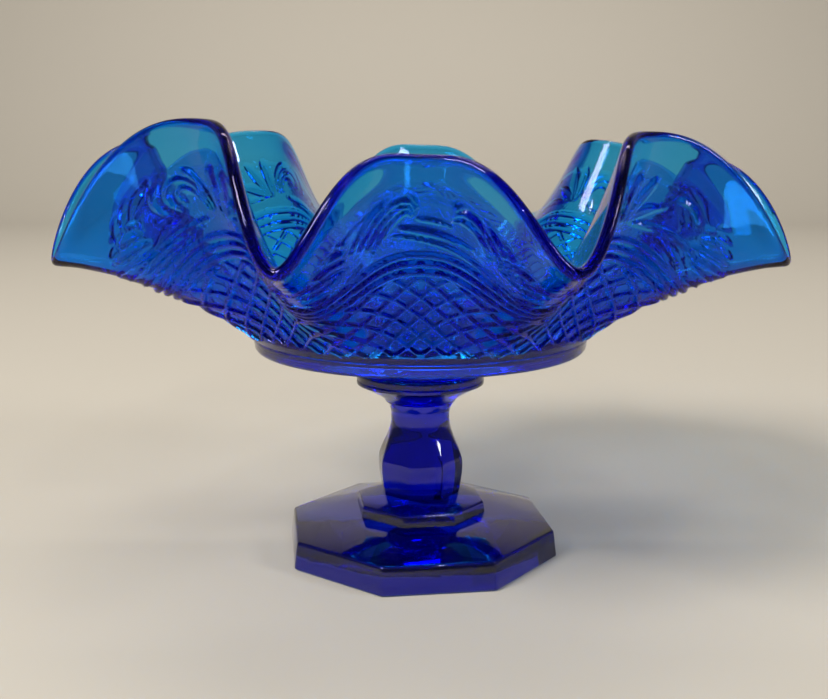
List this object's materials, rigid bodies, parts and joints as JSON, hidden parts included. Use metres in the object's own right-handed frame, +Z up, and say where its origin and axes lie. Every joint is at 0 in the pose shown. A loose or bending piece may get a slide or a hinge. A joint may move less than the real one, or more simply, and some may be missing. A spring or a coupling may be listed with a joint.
{
  "type": "footed glass bowl",
  "caption": "Footed pressed-glass compote bowl with a fluted flaring wall, a round base ring, a baluster stem and an octagonal foot; holds fruit, sweets or small things.",
  "frame": {"origin": "centre of the foot's underside, on the surface the bowl stands on", "axes": "+Z up along the stem; -Y faces the front flute; X is the wide direction of the rim"},
  "size_m": [0.2345, 0.2185, 0.154],
  "materials": {
    "foot_glass": "clear blue pressed glass, fire polished",
    "stem_glass": "clear deep blue pressed glass, fire polished",
    "base_glass": "clear deep blue pressed glass, fire polished",
    "wall_glass": "clear blue pressed glass with raised pattern and a faint iridescent sheen"
  },
  "bodies": {
    "root": {"foot": "foot_glass", "tier": "foot_glass", "stem": "stem_glass", "collar": "stem_glass", "wafer": "stem_glass", "bowl_boss": "base_glass", "bowl_base": "base_glass", "bowl_wall": "wall_glass"}
  },
  "joints": []
}
